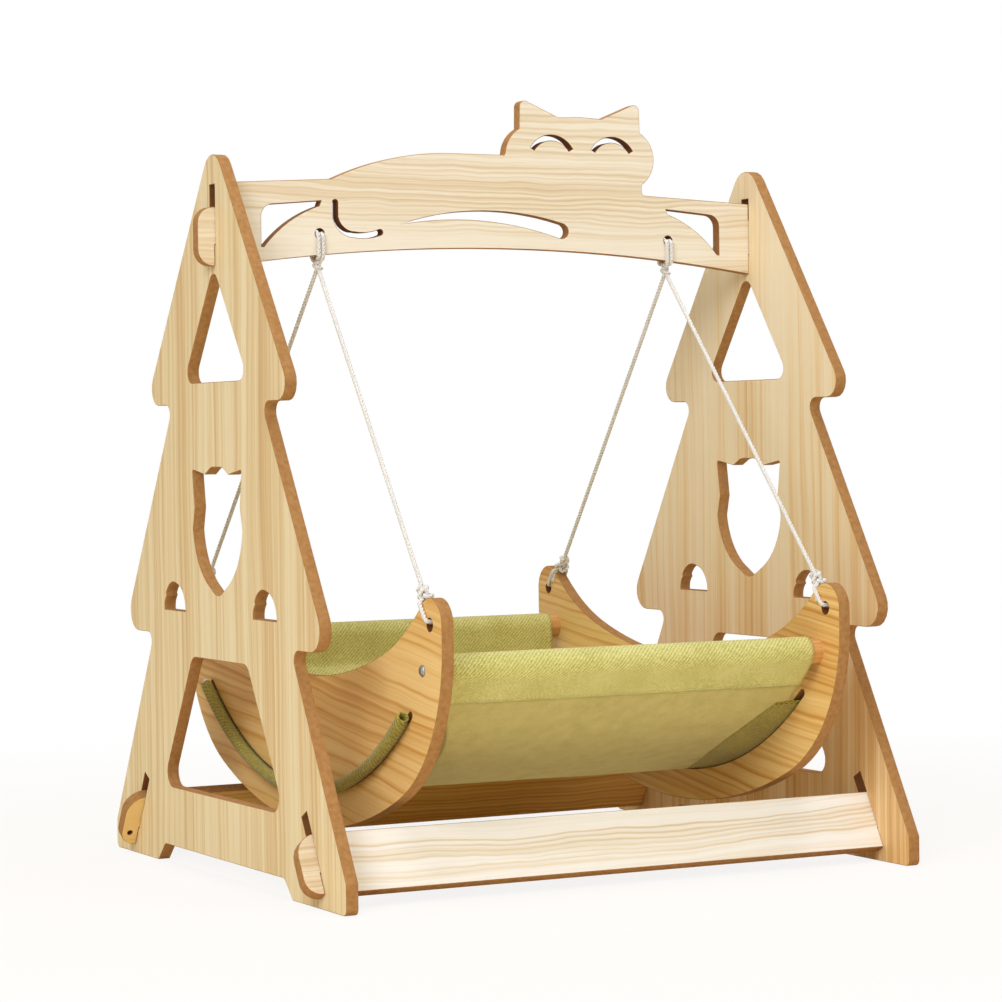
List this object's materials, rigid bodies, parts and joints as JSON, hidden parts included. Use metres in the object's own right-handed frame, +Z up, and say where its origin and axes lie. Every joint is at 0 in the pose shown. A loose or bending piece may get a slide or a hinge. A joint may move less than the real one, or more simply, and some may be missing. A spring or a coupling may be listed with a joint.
{
  "type": "cat hammock",
  "caption": "Free-standing cat hammock: a green cloth sling in a wooden cradle that swings on ropes from a cat-shaped beam between tree-shaped end panels.",
  "frame": {"origin": "on the floor, in the middle of the footprint", "axes": "+X along the beam to the right as seen from the front, +Y to the back, +Z up"},
  "size_m": [0.538, 0.504, 0.631],
  "materials": {
    "panel_pine": "clear matt lacquer",
    "cradle_pine": "clear matt lacquer",
    "dowel_wood": "smooth, unvarnished",
    "steel": "zinc plated",
    "woven_cloth": "coarse plain weave",
    "lining_cloth": "smooth plain weave",
    "flap_cloth": "coarse plain weave",
    "rod_plastic": "smooth",
    "cotton_rope": "twisted strands"
  },
  "bodies": {
    "frame": {"left_panel": "panel_pine", "right_panel": "panel_pine", "top_beam": "panel_pine", "front_rail": "panel_pine", "rear_rail": "panel_pine", "left_beam_hitch": "cotton_rope", "right_beam_hitch": "cotton_rope"},
    "hanger": {"left_hitch_knot": "cotton_rope", "right_hitch_knot": "cotton_rope"},
    "left_ropes": {"left_front_rope": "cotton_rope", "left_rear_rope": "cotton_rope"},
    "cradle": {"left_cradle_board": "cradle_pine", "right_cradle_board": "cradle_pine", "front_dowel": "dowel_wood", "rear_dowel": "dowel_wood", "dowel_screws": "steel", "sling_cloth": "woven_cloth", "sling_lining": "lining_cloth", "left_end_flap": "flap_cloth", "right_end_flap": "flap_cloth", "left_hem_rod": "rod_plastic", "right_hem_rod": "rod_plastic", "left_front_loop": "cotton_rope", "left_rear_loop": "cotton_rope", "right_front_loop": "cotton_rope", "right_rear_loop": "cotton_rope"},
    "right_ropes": {"right_front_rope": "cotton_rope", "right_rear_rope": "cotton_rope"}
  },
  "joints": [
    {"name": "cradle_swing", "type": "hinge", "parent": "frame", "child": "hanger", "pos_m": [0, 0, 0.4898], "axis": [1, 0, 0], "range_deg": [-25, 25]},
    {"name": "cradle_sway", "type": "hinge", "parent": "hanger", "child": "left_ropes", "pos_m": [-0.163, 0, 0.4898], "axis": [0, 1, 0], "range_deg": [-10, 10]},
    {"name": "left_knot_turn", "type": "hinge", "parent": "left_ropes", "child": "cradle", "pos_m": [-0.175, 0, 0.23248], "axis": [0, 1, 0], "range_deg": [-9.31, 9.31]},
    {"name": "right_knot_turn", "type": "hinge", "parent": "cradle", "child": "right_ropes", "pos_m": [0.175, 0, 0.23248], "axis": [0, 1, 0], "range_deg": [-9.31, 9.31]}
  ],
  "couplings": [
    {"joint": "left_knot_turn", "follows": "cradle_sway", "ratio": -0.93143},
    {"joint": "right_knot_turn", "follows": "cradle_sway", "ratio": 0.93143}
  ]
}
